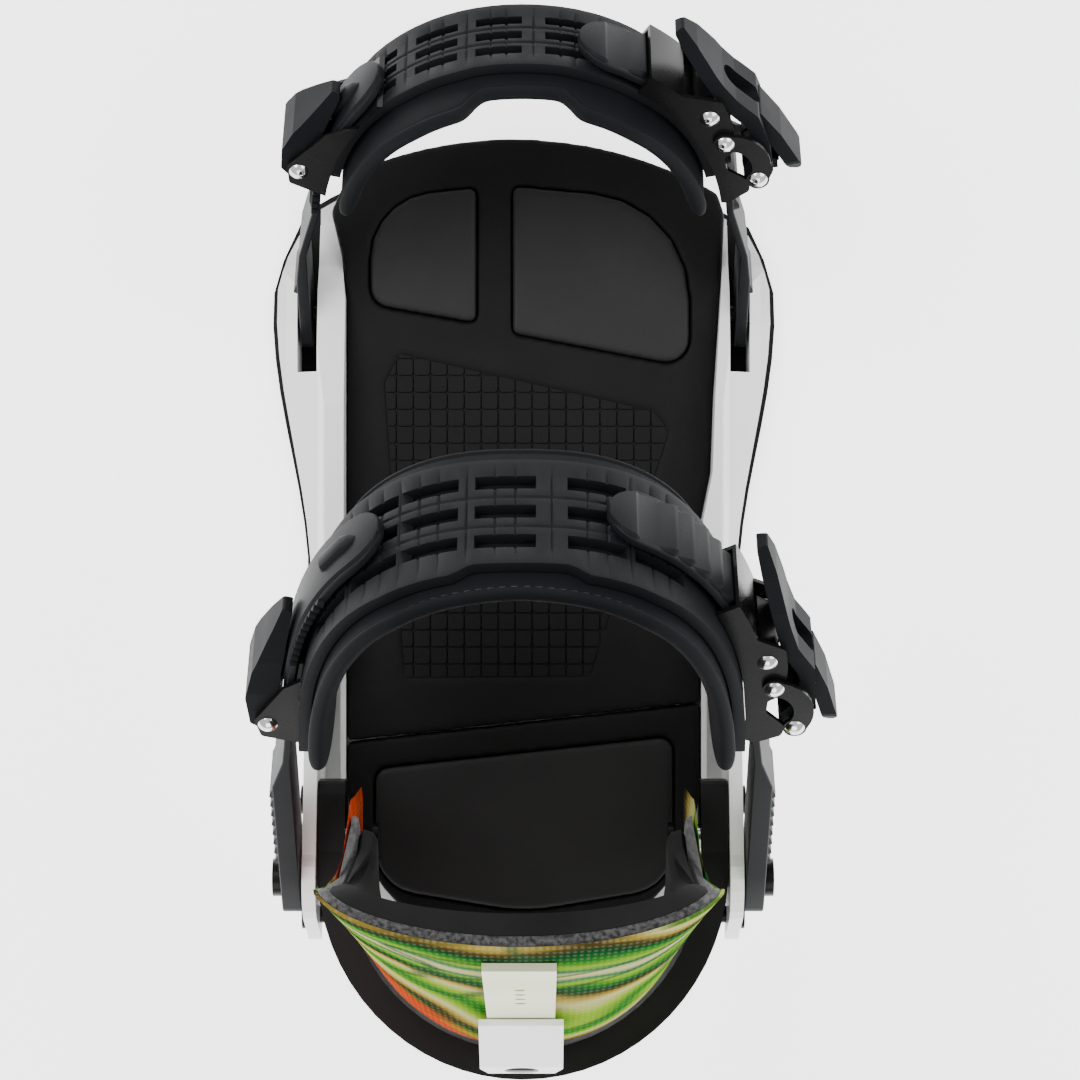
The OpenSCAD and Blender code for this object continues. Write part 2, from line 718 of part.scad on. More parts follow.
ankle_x = wall_x + 0.5;
toe_x = wall_x - 0.3;
ankle_low_t = 5.6;
toe_low_t = 3.4;
ankle_outline = width_outline(62, 20, 22, 3);
toe_outline = width_outline(58, 17, 10, 0.5);
ankle_pad_outline = dipped_outline(62, 24, 30, 3.5);
toe_pad_outline = width_outline(58, 19, 24, 7);

module ankle_shell() {
    strap_shell(ankle, 1.5, ankle_outline, [58, 75.5, 92, 108.5, 125, 143], [-11.2, -0.2, 10.8],
        [16, 4.8]);
}

module ankle_pad() {
    strap_pad(ankle, 1, ankle_pad_outline);
}

module ankle_ladder_right() {
    ladder(ankle, 1, ankle_x, 74, ankle_low_t, 50, 3 + fit);
}

module ankle_ladder_left() {
    ladder(ankle, -1, ankle_x, 60, ankle_low_t, 50, 3 + fit);
}

module ankle_bolts() {
    seat = ankle_x + ankle_low_t + 0.1;
    color(metal) both_sides() {
        bar_x(54, seat, ankle[0], ankle[1], 3);
        difference() {
            bar_x(seat, seat + 2.9, ankle[0], ankle[1], 5.5);
            bar_x(seat + 1.3, seat + 4, ankle[0], ankle[1], 2);
        }
    }
}

module toe_shell() {
    strap_shell(toe, 14, toe_outline, [60, 78, 96, 114, 134], [-9.8, -3.3, 3.2], [13, 3.2]);
}

module toe_pad() {
    strap_pad(toe, 10, toe_pad_outline);
}

module toe_ladder_right() {
    ladder(toe, 1, toe_x, 76, toe_low_t, 22, pin_r + 1 + fit);
}

module toe_ladder_left() {
    ladder(toe, -1, toe_x, 50, toe_low_t, 22, pin_r + 1 + fit);
}

module toe_bolts() {
    color(metal) both_sides() bar_x(wall_x - 4.6, wall_x + 7, toe[0], toe[1], pin_r + 1);
}

// ---- every piece ---------------------------------------------------------------------------

base_pad();
chassis();
mounting_disc();
footbed_front();
footbed_heel();
toe_pad_small();
toe_pad_large();
heel_pad();
heel_hoop();
hoop_screws();
highback_shell();
highback_felt();
highback_foam();
highback_pivots();
pivot_spacers();
lean_track();
lean_block();
lean_screw();
ankle_shell();
ankle_pad();
ankle_ladder_right();
ankle_ladder_left();
ankle_bolts();
ratchet_frame(ankle, ankle_ratchet, ankle_cover);  // ankle_ratchet_frame
ratchet_link(ankle, ankle_ratchet);  // ankle_ratchet_link
ratchet_lever(ankle, ankle_ratchet, 33.5);  // ankle_ratchet_lever
ratchet_pawl(ankle, ankle_ratchet);  // ankle_ratchet_pawl
ratchet_rivets(ankle, ankle_ratchet);  // ankle_ratchet_rivets
lever_rivet(ankle, ankle_ratchet);  // ankle_lever_rivet
pawl_spring(ankle, ankle_ratchet);  // ankle_pawl_spring
adjuster_bracket(ankle, ankle_adjuster);  // ankle_adjuster_bracket
adjuster_lever(ankle, ankle_adjuster, 34);  // ankle_adjuster_lever
adjuster_pin(ankle, ankle_adjuster);  // ankle_adjuster_pin
toe_shell();
toe_pad();
toe_ladder_right();
toe_ladder_left();
toe_bolts();
ratchet_frame(toe, toe_ratchet, toe_cover);  // toe_ratchet_frame
ratchet_link(toe, toe_ratchet);  // toe_ratchet_link
ratchet_lever(toe, toe_ratchet, 25);  // toe_ratchet_lever
ratchet_pawl(toe, toe_ratchet);  // toe_ratchet_pawl
ratchet_rivets(toe, toe_ratchet);  // toe_ratchet_rivets
lever_rivet(toe, toe_ratchet);  // toe_lever_rivet
pawl_spring(toe, toe_ratchet);  // toe_pawl_spring
adjuster_bracket(toe, toe_adjuster);  // toe_adjuster_bracket
adjuster_lever(toe, toe_adjuster, 22);  // toe_adjuster_lever
adjuster_pin(toe, toe_adjuster);  // toe_adjuster_pin
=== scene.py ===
"""The looks of a strap-in snowboard binding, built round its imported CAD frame."""

import json
import math

import bmesh
import bpy
from mathutils import Matrix, Vector


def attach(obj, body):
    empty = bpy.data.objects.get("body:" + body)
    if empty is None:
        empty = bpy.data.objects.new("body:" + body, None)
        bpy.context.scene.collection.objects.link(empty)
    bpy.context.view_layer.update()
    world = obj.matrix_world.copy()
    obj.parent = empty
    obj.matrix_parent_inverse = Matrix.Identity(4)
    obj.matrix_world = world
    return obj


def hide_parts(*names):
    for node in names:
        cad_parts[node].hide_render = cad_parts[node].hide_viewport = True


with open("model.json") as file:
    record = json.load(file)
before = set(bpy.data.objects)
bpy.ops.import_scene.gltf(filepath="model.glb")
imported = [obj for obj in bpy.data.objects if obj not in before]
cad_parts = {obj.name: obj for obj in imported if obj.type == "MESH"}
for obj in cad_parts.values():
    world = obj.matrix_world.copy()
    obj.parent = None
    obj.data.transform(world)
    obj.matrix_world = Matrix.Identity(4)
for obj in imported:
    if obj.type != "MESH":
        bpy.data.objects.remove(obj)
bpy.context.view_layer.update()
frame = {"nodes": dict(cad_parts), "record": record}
nodes = frame["nodes"]
MM = 0.001


# ---- materials ------------------------------------------------------------------------------


class Shade:
    """A Principled material under construction, with its object coordinates."""

    def __init__(self, name, **values):
        self.material = bpy.data.materials.new(name)
        self.material.use_nodes = True
        self.tree = self.material.node_tree
        self.shader = self.tree.nodes["Principled BSDF"]
        self.place = self.add("ShaderNodeTexCoord").outputs["Object"]
        self.height = None
        for socket, value in values.items():
            self.shader.inputs[socket.replace("_", " ")].default_value = value

    def add(self, kind, **settings):
        node = self.tree.nodes.new(kind)
        for key, value in settings.items():
            setattr(node, key, value)
        return node

    def link(self, source, target):
        self.tree.links.new(source, target)

    def stretched(self, scale):
        """The object coordinates scaled along each axis."""
        node = self.add("ShaderNodeMapping")
        node.inputs["Scale"].default_value = scale
        self.link(self.place, node.inputs["Vector"])
        return node.outputs[0]

    def noise(self, scale, detail=4, place=None):
        node = self.add("ShaderNodeTexNoise")
        node.inputs["Scale"].default_value = scale
        node.inputs["Detail"].default_value = detail
        self.link(place or self.place, node.inputs["Vector"])
        return node.outputs["Fac"]

    def ramp(self, fac, stops):
        """Colours at places from 0 to 1."""
        node = self.add("ShaderNodeValToRGB")
        marks = node.color_ramp.elements
        while len(marks) < len(stops):
            marks.new(0.5)
        for mark, (place, colour) in zip(marks, stops):
            mark.position = place
            mark.color = (*colour, 1)
        self.link(fac, node.inputs["Fac"])
        return node.outputs["Color"]

    def span(self, fac, low, high):
        node = self.add("ShaderNodeMapRange")
        node.inputs["To Min"].default_value = low
        node.inputs["To Max"].default_value = high
        self.link(fac, node.inputs["Value"])
        return node.outputs["Result"]

    def sum(self, *terms):
        """Adds up sockets times weights; a term with no socket is a plain number."""
        total = None
        for socket, weight in terms:
            node = self.add("ShaderNodeMath", operation="MULTIPLY_ADD")
            node.inputs[0].default_value = 1
            if socket:
                self.link(socket, node.inputs[0])
            node.inputs[1].default_value = weight
            node.inputs[2].default_value = 0
            if total:
                self.link(total, node.inputs[2])
            total = node.outputs[0]
        return total

    def fold(self, socket):
        """Runs a value up and down between 0 and 1, so that it never leaves a ramp."""
        node = self.add("ShaderNodeMath", operation="PINGPONG")
        node.inputs[1].default_value = 1
        self.link(socket, node.inputs[0])
        return node.outputs[0]

    def mix(self, mask, under, over, amount):
        """Lays the colour over onto under where mask is white."""
        node = self.add("ShaderNodeMix", data_type="RGBA")
        self.link(self.sum((mask, amount)), node.inputs["Factor"])
        self.link(under, node.inputs[6])
        node.inputs[7].default_value = over
        return node.outputs[2]

    def colour(self, socket):
        self.link(socket, self.shader.inputs["Base Color"])

    def rough(self, fac, low, high):
        self.link(self.span(fac, low, high), self.shader.inputs["Roughness"])

    def bump(self, height, depth, strength=1.0):
        """Adds a layer of relief depth metres deep."""
        node = self.add("ShaderNodeBump")
        node.inputs["Distance"].default_value = depth
        node.inputs["Strength"].default_value = strength
        self.link(height, node.inputs["Height"])
        if self.height:
            self.link(self.height, node.inputs["Normal"])
        self.height = node.outputs[0]
        self.link(self.height, self.shader.inputs["Normal"])


def plastic(name, dark, light, rough=(0.4, 0.55), grain=900, relief=0.03 * MM, **values):
    """A moulded surface: fine grain, slow changes of tint and some wear in its gloss."""
    made = Shade(name, **{"Specular_IOR_Level": 0.1, **values})
    made.colour(made.ramp(made.noise(25), [(0.3, dark), (0.7, light)]))
    made.rough(made.noise(60), *rough)
    made.bump(made.noise(grain, 2), relief)
    return made.material


def steel(name, dark, light, rough=(0.2, 0.35)):
    made = Shade(name, Metallic=1.0)
    made.colour(made.ramp(made.noise(40), [(0.3, dark), (0.7, light)]))
    made.rough(made.noise(200), *rough)
    made.bump(made.noise(700, 2), 0.01 * MM)
    return made.material


LIME = (0.16, 0.27, 0.01)
LEAF = (0.015, 0.12, 0.01)
PINE = (0.003, 0.03, 0.01)
TEAL = (0.005, 0.1, 0.05)
CREAM = (0.36, 0.34, 0.14)
STRAW = (0.24, 0.18, 0.03)
OLIVE = (0.045, 0.03, 0.008)
RUST = (0.4, 0.02, 0.004)


def highback_print():
    """A print of soft colour bands, thin dark curves and a fine mesh of dots."""
    made = Shade("highback_print", Specular_IOR_Level=0.0)
    split = made.add("ShaderNodeSeparateXYZ")
    made.link(made.place, split.inputs[0])
    x, z = split.outputs["X"], split.outputs["Z"]
    drift = made.noise(11, 2, made.stretched((1, 0.6, 0.7)))
    bands = made.fold(made.sum((x, 5), (z, 13), (drift, 2.6), (None, -0.9)))
    paint_bands = made.ramp(bands, [
        (0.04, LEAF), (0.16, LIME), (0.27, CREAM), (0.36, STRAW), (0.45, OLIVE), (0.53, PINE),
        (0.64, LEAF), (0.76, LIME), (0.86, TEAL), (0.96, CREAM)])
    edge = made.sum((x, -16), (z, -7), (drift, 0.5), (None, 0.55))
    flame = made.ramp(edge, [(0.32, (0, 0, 0)), (0.5, (1, 1, 1))])
    glow = made.mix(flame, paint_bands, (*RUST, 1), 0.9)
    curves = made.noise(14, 1, made.stretched((1, 1, 1.4)))
    thin = made.ramp(curves, [(0.475, (0, 0, 0)), (0.49, (1, 1, 1)), (0.5, (1, 1, 1)),
                              (0.515, (0, 0, 0))])
    inked = made.mix(thin, glow, (0.015, 0.05, 0.02, 1), 0.7)
    dots = made.add("ShaderNodeTexVoronoi")
    dots.inputs["Scale"].default_value = 620
    dots.inputs["Randomness"].default_value = 0.15
    made.link(made.place, dots.inputs["Vector"])
    dotted = made.ramp(dots.outputs["Distance"], [(0.2, (1, 1, 1)), (0.45, (0, 0, 0))])
    made.colour(made.mix(dotted, inked, (0.6, 0.62, 0.4, 1), 0.1))
    made.rough(made.noise(50), 0.3, 0.42)
    made.bump(dots.outputs["Distance"], 0.05 * MM)
    return made.material


def felt():
    """Pressed grey fibres that run up the layer in streaks."""
    made = Shade("grey_felt", Sheen_Weight=0.15, Sheen_Roughness=0.6, Specular_IOR_Level=0.1)
    streaks = made.noise(1, 3, made.stretched((900, 900, 60)))
    made.colour(made.ramp(streaks, [(0.35, grey(0.008)), (0.65, grey(0.06))]))
    made.rough(made.noise(300), 0.8, 0.95)
    made.bump(streaks, 0.12 * MM)
    return made.material


def grey(value, tint=(0, 0, 0)):
    return tuple(value + t for t in tint)


COOL = (-0.0006, 0.0002, 0.0016)

FINISHES = {
    "white_nylon": plastic("white_nylon", grey(0.84, (0, 0.008, 0)), grey(0.9, (0, 0.004, -0.006)),
                           (0.3, 0.42), 500, Specular_IOR_Level=0.5),
    "pad_rubber": plastic("pad_rubber", grey(0.006), grey(0.012), (0.6, 0.75)),
    "disc_nylon": plastic("disc_nylon", grey(0.01), grey(0.02)),
    "footbed_foam": plastic("footbed_foam", grey(0.0035), grey(0.0055), (0.55, 0.72), 1400, 0.05 * MM,
                            Specular_IOR_Level=0.15),
    "cushion_rubber": plastic("cushion_rubber", grey(0.010), grey(0.014), (0.5, 0.62), 1800, 0.03 * MM,
                              Specular_IOR_Level=0.25),
    "black_nylon": plastic("black_nylon", grey(0.006), grey(0.010), (0.36, 0.5)),
    "dark_steel": plastic("dark_steel", grey(0.008), grey(0.016), (0.2, 0.35), Metallic=0.7),
    "highback_print": highback_print(),
    "grey_felt": felt(),
    # light grey for the pad's stitches: painted highlight, standing in for the glint along the stitched
    # line
    "thread_and_highlight": plastic("thread_and_highlight", grey(0.05), grey(0.1), (0.6, 0.8)),
    "black_foam": plastic("black_foam", grey(0.006), grey(0.012), (0.8, 0.95), 1600, 0.08 * MM),
    "bright_steel": steel("bright_steel", grey(0.6), grey(0.78), (0.1, 0.22)),
    "clear_track": plastic("clear_track", (0.58, 0.62, 0.38), (0.7, 0.72, 0.5), (0.3, 0.4)),
    "black_screw": plastic("black_screw", grey(0.004), grey(0.01), (0.25, 0.4), Metallic=0.6),
    "strap_shell": plastic("strap_shell", grey(0.0065, COOL), grey(0.0105, COOL), (0.5, 0.64), 1500,
                           0.04 * MM),
    "strap_pad": plastic("strap_pad", grey(0.0045, COOL), grey(0.007, COOL), (0.6, 0.75), 1500,
                         0.05 * MM),
    "ladder_plastic": plastic("ladder_plastic", grey(0.0065, COOL), grey(0.0105, COOL), (0.42, 0.55)),
    "buckle_metal": plastic("buckle_metal", grey(0.012), grey(0.023), (0.2, 0.34),
                            1200, 0.015 * MM, Metallic=0.75),
    "lever_plastic": plastic("lever_plastic", grey(0.005, COOL), grey(0.008, COOL), (0.45, 0.6), 1600,
                             0.04 * MM, Specular_IOR_Level=0.05),
}


def paint(obj, finish):
    obj.data.materials.clear()
    obj.data.materials.append(FINISHES[finish])


def soften(obj, width, angle=25, segments=3):
    """Flattens a CAD mesh's triangles into faces and rounds its sharp edges."""
    flat = obj.modifiers.new("faces", "DECIMATE")
    flat.decimate_type = "DISSOLVE"
    flat.angle_limit = math.radians(1.5)
    bevel = obj.modifiers.new("edges", "BEVEL")
    bevel.width = width
    bevel.segments = segments
    bevel.limit_method = "ANGLE"
    bevel.angle_limit = math.radians(angle)
    for face in obj.data.polygons:
        face.use_smooth = True
    normals = obj.modifiers.new("normals", "WEIGHTED_NORMAL")
    normals.keep_sharp = True


def soft_copy(node, name, voxel, finish):
    """A foam piece: the CAD solid remeshed finely, its edges relaxed and its faces slightly uneven."""
    copy = nodes[node].copy()
    copy.data = nodes[node].data.copy()
    copy.name = copy.data.name = name
    copy.modifiers.clear()
    copy.parent = None
    copy.matrix_world = Matrix.Identity(4)
    bpy.context.collection.objects.link(copy)
    skin = copy.modifiers.new("skin", "REMESH")
    skin.mode = "VOXEL"
    skin.voxel_size = voxel
    skin.use_smooth_shade = True
    relax = copy.modifiers.new("relax", "CORRECTIVE_SMOOTH")
    relax.iterations = 4
    relax.use_only_smooth = True
    uneven = bpy.data.textures.new(name + "_uneven", "CLOUDS")
    uneven.noise_scale = 0.02
    push = copy.modifiers.new("uneven", "DISPLACE")
    push.texture = uneven
    push.texture_coords = "LOCAL"
    push.strength = 0.25 * MM
    paint(copy, finish)
    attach(copy, "chassis")
    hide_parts(node)
    return copy


# how far each kind of CAD piece has its edges rounded, in millimetres
ROUNDING = {"adjuster_lever": 2, "lever": 1.2, "chassis": 1.4, "heel_hoop": 1.4, "lean_block": 0.9,
            "frame": 0.3, "bracket": 0.3, "link": 0.25, "pawl": 0.25, "base_pad": 0.8}

for part in frame["record"]["subparts"]:
    name = part["node"]
    paint(nodes[name], part["material_slot"])
    soften(nodes[name], next((r for key, r in ROUNDING.items() if name.endswith(key)), 0.35) * MM)
soft_copy("footbed_front", "footbed_front_foam", 0.9 * MM, "footbed_foam")
soft_copy("footbed_heel", "footbed_heel_foam", 0.9 * MM, "footbed_foam")
for cushion in ("toe_pad_small", "toe_pad_large", "heel_pad"):
    soft_copy(cushion, cushion + "_cushion", 0.7 * MM, "cushion_rubber")


# ---- mesh building --------------------------------------------------------------------------


def mesh_object(name, points, faces, finish, body, smooth=True):
    """A new piece from points in millimetres, in the row frame, riding on a body."""
    mesh = bpy.data.meshes.new(name)
    mesh.from_pydata([tuple(Vector(p) * MM) for p in points], [], faces)
    mesh.validate()
    work = bmesh.new()
    work.from_mesh(mesh)
    bmesh.ops.recalc_face_normals(work, faces=work.faces)
    work.to_mesh(mesh)
    work.free()
    for face in mesh.polygons:
        face.use_smooth = smooth
    made = bpy.data.objects.new(name, mesh)
    bpy.context.collection.objects.link(made)
    paint(made, finish)
    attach(made, body)
    return made


def loft(name, rings, finish, body, capped=True):
    """A closed tube of equal rings of points, one after another."""
    count = len(rings[0])
    points = [p for ring in rings for p in ring]
    faces = []
    for i in range(len(rings) - 1):
        for j in range(count):
            k = (j + 1) % count
            faces.append((i * count + j, i * count + k, (i + 1) * count + k, (i + 1) * count + j))
    if capped:
        faces.append(tuple(range(count)))
        faces.append(tuple((len(rings) - 1) * count + j for j in range(count)))
    return mesh_object(name, points, faces, finish, body)


def bevelled(obj, width, angle=30, segments=3):
    edges = obj.modifiers.new("edges", "BEVEL")
    edges.width = width
    edges.segments = segments
    edges.limit_method = "ANGLE"
    edges.angle_limit = math.radians(angle)
    return obj


def smoothed(obj, levels=1):
    skin = obj.modifiers.new("skin", "SUBSURF")
    skin.levels = levels
    skin.render_levels = levels
    return obj


def lerp(a, b, f):
    return a + (b - a) * f


def table(x, pairs):
    """Straight-line look-up in pairs of (x, value)."""
    if x <= pairs[0][0]:
        return pairs[0][1]
    for (x0, y0), (x1, y1) in zip(pairs, pairs[1:]):
        if x <= x1:
            return lerp(y0, y1, (x - x0) / (x1 - x0))
    return pairs[-1][1]


def spaced(start, end, step):
    """Even places from start to end, no further apart than step."""
    count = max(1, math.ceil(abs(end - start) / step))
    return [lerp(start, end, i / count) for i in range(count + 1)]


# ---- straps ---------------------------------------------------------------------------------


class Strap:
    """A strap's arch, measured along its outer face from its apex: negative to the left."""

    def __init__(self, name, y, z, pitch, start, half, rise, power):
        self.name = name
        self.body = name + "_strap"
        self.start, self.half, self.rise, self.power = start, half, rise, power
        self.place = Matrix.Translation((0, y, z)) @ Matrix.Rotation(math.radians(pitch), 4, "X")
        self.steps = [(90 - i * 0.5) for i in range(181)]
        self.lengths = [0.0]
        for a, b in zip(self.steps, self.steps[1:]):
            gap = (Vector(self.at_angle(b, 0)) - Vector(self.at_angle(a, 0))).length
            self.lengths.append(self.lengths[-1] + gap)

    def at_angle(self, t, off):
        c, s = math.cos(math.radians(t)), math.sin(math.radians(t))
        cu = math.copysign(abs(c) ** (2 / self.power), c)
        sv = abs(s) ** (2 / self.power)
        out = Vector((math.copysign(abs(cu) ** (self.power - 1), c) / self.half,
                      sv ** (self.power - 1) / self.rise)).normalized()
        return (self.half * cu + out.x * off, self.start + self.rise * sv + out.y * off)

    def angle(self, s):
        """The arch angle at length s from the apex."""
        return 90 - math.copysign(90 - table(abs(s), list(zip(self.lengths, self.steps))), s)

    def length(self, t):
        """The length from the apex at an arch angle."""
        return math.copysign(table(abs(90 - t), [(90 - a, d) for a, d in
                                                 zip(self.steps, self.lengths)]), 90 - t)

    def point(self, s, off, w):
        u, v = self.at_angle(self.angle(s), off)
        return self.place @ Vector((u, v, w))

    def flat_point(self, u, v, w):
        return self.place @ Vector((u, v, w))


ANKLE = Strap("ankle", -98, 47, 44, 70, 60.5, 76.5, 2.5)
TOE = Strap("toe", 68, 14.5, 47, 45, 57, 58, 2.1)


def strap_edges(strap, s, front, rear, notch, dip=0):
    """Front and rear edges of the strap's outline at length s."""
    u = abs(strap.at_angle(strap.angle(s), 0)[0])
    low = -front + table(u, [(strap.half * 0.75, 0), (strap.half, 2.2), (strap.half + 8, 6)])
    high = rear - table(u, [(strap.half * 0.6, 0), (strap.half + 8, 5)])
    high -= notch * table(u, [(13, 1), (18, 0)]) + dip * table(u, [(0, 1), (strap.half * 0.84, 0)])
    return low, high


def make_shell(strap, reach, columns, rows, window, outline):
    """The ventilated shell: a grid with windows left out and tile grooves pressed in."""
    groove, depth, lip = 0.55, 0.6, 1.6
    ends = [strap.length(180 - reach), strap.length(reach)]
    centres = sorted(strap.length(t) for t in columns)
    cuts = {}
    for c in centres:
        cuts[c - window[0] / 2] = cuts[c + window[0] / 2] = 0
    mids = [(a + b) / 2 for a, b in zip(centres, centres[1:])]
    tiles = mids + [c + d for c in centres for d in (-window[0] / 6, window[0] / 6)]
    for m in tiles:
        cuts.update({m - groove: 0, m: depth, m + groove: 0})
    places = sorted(cuts)
    lines = [ends[0], ends[0] + lip]
    for target in places + [ends[1] - lip, ends[1]]:
        if target > lines[-1] + 0.2:
            lines += spaced(lines[-1], target, 4)[1:]
    drop_s = [next((d for p, d in cuts.items() if abs(p - s) < 1e-6), 0) for s in lines]
    bars = [(a + b) / 2 for a, b in zip(rows, rows[1:])]
    across = []
    for w in rows:
        across += [(w - window[1] / 2, 0), (w + window[1] / 2, 0)]
    for b in bars:
        across += [(b - groove, 0), (b, depth), (b + groove, 0)]
    across.sort()
    points, width = [], len(across) + 4
    for s, ds in zip(lines, drop_s):
        low, high = strap_edges(strap, s, *outline)
        row = [(low, 0), (low + lip, 0)] + across + [(high - lip, 0), (high, 0)]
        for j, (w, dw) in enumerate(row):
            points.append(strap.point(s, -max(ds if 1 < j < width - 2 else 0, dw), w))
    faces = []
    for i in range(len(lines) - 1):
        middle = (lines[i] + lines[i + 1]) / 2
        open_column = any(abs(middle - c) < window[0] / 2 for c in centres)
        for j in range(width - 1):
            low, high = [([(0, 0)] * 2 + across + [(0, 0)] * 2)[k][0] for k in (j, j + 1)]
            open_row = 1 < j < width - 3 and any(abs((low + high) / 2 - w) < 0.1 for w in rows)
            if not (open_column and open_row):
                k = i * width + j
                faces.append((k, k + 1, k + width + 1, k + width))
    shell = mesh_object(strap.name + "_shell_skin", points, faces, "strap_shell", strap.body)
    skin = shell.modifiers.new("thickness", "SOLIDIFY")
    skin.thickness = 3.2 * MM
    skin.offset = -1
    skin.use_even_offset = True
    bevelled(shell, 0.45 * MM, 40)
    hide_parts(strap.name + "_shell")
    return shell


def make_pad(strap, reach, outline, rim):
    """The soft inner pad: a thick flat band with a thin piping along its rear edge."""
    inner, outer = -9.7, -3.5
    ends = [strap.length(180 - reach), strap.length(reach)]
    rings = []
    for s in spaced(ends[0], ends[1], 3):
        low, high = strap_edges(strap, s, *outline)
        near_end = min(s - ends[0], ends[1] - s)
        thin = min(1, 0.5 + near_end / 8)
        mid = (inner + outer) / 2
        section = [(low + 3.4, outer), (low + 3, outer - 0.6), (low + 2.5, outer - 0.6),
                   (low + 2.1, outer), (low + 0.7, outer - 0.4), (low, mid), (low + 0.8, inner + 1.2),
                   (low + 3, inner), (0, inner - 0.2), (high - 4, inner + 0.4), (high - 1, inner + 2.2),
                   (high, mid + 0.8), (high - 0.2, outer - 0.6), (high - 1.2, outer + rim),
                   (high - 2.3, outer + rim - 0.1), (high - 2.9, outer - 0.6), (high - 3.5, outer - 0.7),
                   (high - 4.4, outer), (0, outer)]
        rings.append([strap.point(s, mid + (off - mid) * thin, w) for w, off in section])
    pad = loft(strap.name + "_pad_foam", rings, "strap_pad", strap.body)
    smoothed(pad, 2)
    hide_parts(strap.name + "_pad")
    return pad


RIDGE = [(0, 0.1), (0.1, 1.7), (0.3, 1.6), (0.97, 0.1)]


def ladder_section(half, thick, rise):
    """A ladder's section: its flat strip and the ridge that stands on it, as (width, height)."""
    ridge = half * 0.84
    return [(-half, 0.3), (-half, thick - 0.3), (-half + 0.4, thick), (-ridge - 0.4, thick),
            (-ridge, thick + rise), (ridge, thick + rise), (ridge + 0.4, thick),
            (half - 0.4, thick), (half, thick - 0.3), (half, 0.3), (half - 0.4, 0), (0.4 - half, 0)]


def make_ladder(strap, side, x0, t_end, low_t, low_v):
    """A ladder from its bolt to its tongue: ridged to its end on the right, smooth on the left."""
    inner, thick, half_w, pitch, plain = 1.6, 2.2, 10, 5.4, 9
    name = strap.name + "_ladder_" + ("right" if side > 0 else "left")
    rings = []

    def low_ring(v, half, t, rise):
        rings.append([strap.flat_point(side * (x0 + o), v, w)
                      for w, o in ladder_section(half, t, rise)])

    for v in (-9.6, -8, -5, -2.5):
        low_ring(v, math.sqrt(half_w ** 2 - v ** 2), low_t, 0)
    low_ring(12, half_w, low_t, 0)
    v = 16
    while v < low_v - 4:
        for along, rise in RIDGE:
            low_ring(v + along * 4, half_w, low_t, rise * 0.7)
        v += 4
    low_ring(low_v, half_w, low_t, 0)
    low_ring(low_v + 10, half_w, thick, 0)
    tip = strap.length(t_end)
    centre = tip + half_w
    s = strap.length(3)
    places = [(s, 0)]
    while side > 0 and s > tip + plain + pitch:
        places += [(s - along * pitch, rise) for along, rise in RIDGE]
        s -= pitch
    if side > 0:
        places += [(tip + plain - 1, 0.1), (tip + plain - 2, 0.9)]
    else:
        places += [(place, 0.9) for place in spaced(s - 3, tip + plain - 2, 3)]
    places += [(tip + reach, 0.9) for reach in (5, 3.2, 1.8, 0.8, 0.25)]
    for s, rise in places:
        back = max(0, centre - s)
        half = math.sqrt(half_w ** 2 - min(back, half_w - 0.12) ** 2)
        rings.append([strap.point(side * s, inner + o, w) for w, o in
                      ladder_section(half, thick, rise)])
    ladder = loft(name + "_strip", rings, "ladder_plastic", strap.body)
    bevelled(ladder, 0.2 * MM, 35, 2)
    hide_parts(name)
    if side < 0:
        make_nub(strap, side, tip + 7, inner + thick + 0.6)
        make_rack(strap, side, tip + 2.2 * half_w, half_w, inner + 0.4)
    return ladder


def make_nub(strap, side, start, floor):
    """A raised rib on the tongue, to pull it by."""
    steps = [(0, 0.6, 0.4), (1.5, 2.2, 1.5), (4, 2.9, 2.2), (12, 2.9, 2.2), (13.5, 2, 0.5)]
    rings = []
    for along, half, rise in steps:
        rings.append([strap.point(side * (start + along), floor + o, w) for w, o in
                      ((-half, 0), (-half * 0.8, rise * 0.8), (-half * 0.4, rise), (half * 0.4, rise),
                       (half * 0.8, rise * 0.8), (half, 0))])
    nub = loft(strap.name + "_tongue_nub", rings, "ladder_plastic", strap.body)
    bevelled(nub, 0.3 * MM, 30)


def make_rack(strap, side, start, edge, floor):
    """The row of small teeth along the tongue's rear edge."""
    pitch, deep, thick = 2.3, 1.7, 2.0
    points, faces = [], []
    for k in range(11):
        at = start + k * pitch
        first = len(points)
        for o in (floor, floor + thick):
            for along, out in ((0, -0.4), (pitch * 0.9, -0.4), (pitch * 0.9, 0.1), (pitch * 0.4, deep),
                               (0, 0.1)):
                points.append(strap.point(side * (at + along), o, edge + out))
        faces.append(tuple(first + j for j in range(5)))
        faces.append(tuple(first + 9 - j for j in range(5)))
        for j in range(5):
            n = (j + 1) % 5
            faces.append((first + j, first + n, first + 5 + n, first + 5 + j))
    rack = mesh_object(strap.name + "_tongue_rack", points, faces, "ladder_plastic", strap.body,
                       smooth=False)
    bevelled(rack, 0.15 * MM, 40, 2)


def make_stitches(strap, reach, outline, off, inset):
    """A row of short stitches along the pad's rear rim; the stitches are real, but their light grey
    colour is painted highlight, standing in for the glint along the stitched line.
    """
    points, faces = [], []
    ends = [strap.length(180 - reach), strap.length(reach)]
    for s in spaced(ends[0] + 6, ends[1] - 6, 3.2):
        high = strap_edges(strap, s, *outline)[1] - inset
        first = len(points)
        for along in (-0.9, 0.9):
            for w, o in ((-0.22, 0), (0, 0.2), (0.22, 0)):
                points.append(strap.point(s + along, off + o, high + w))
        faces += [(first, first + 1, first + 4, first + 3), (first + 1, first + 2, first + 5, first + 4),
                  (first, first + 3, first + 5, first + 2), (first, first + 2, first + 1),
                  (first + 3, first + 4, first + 5)]
    return mesh_object(strap.name + "_pad_stitches", points, faces, "thread_and_highlight", strap.body)


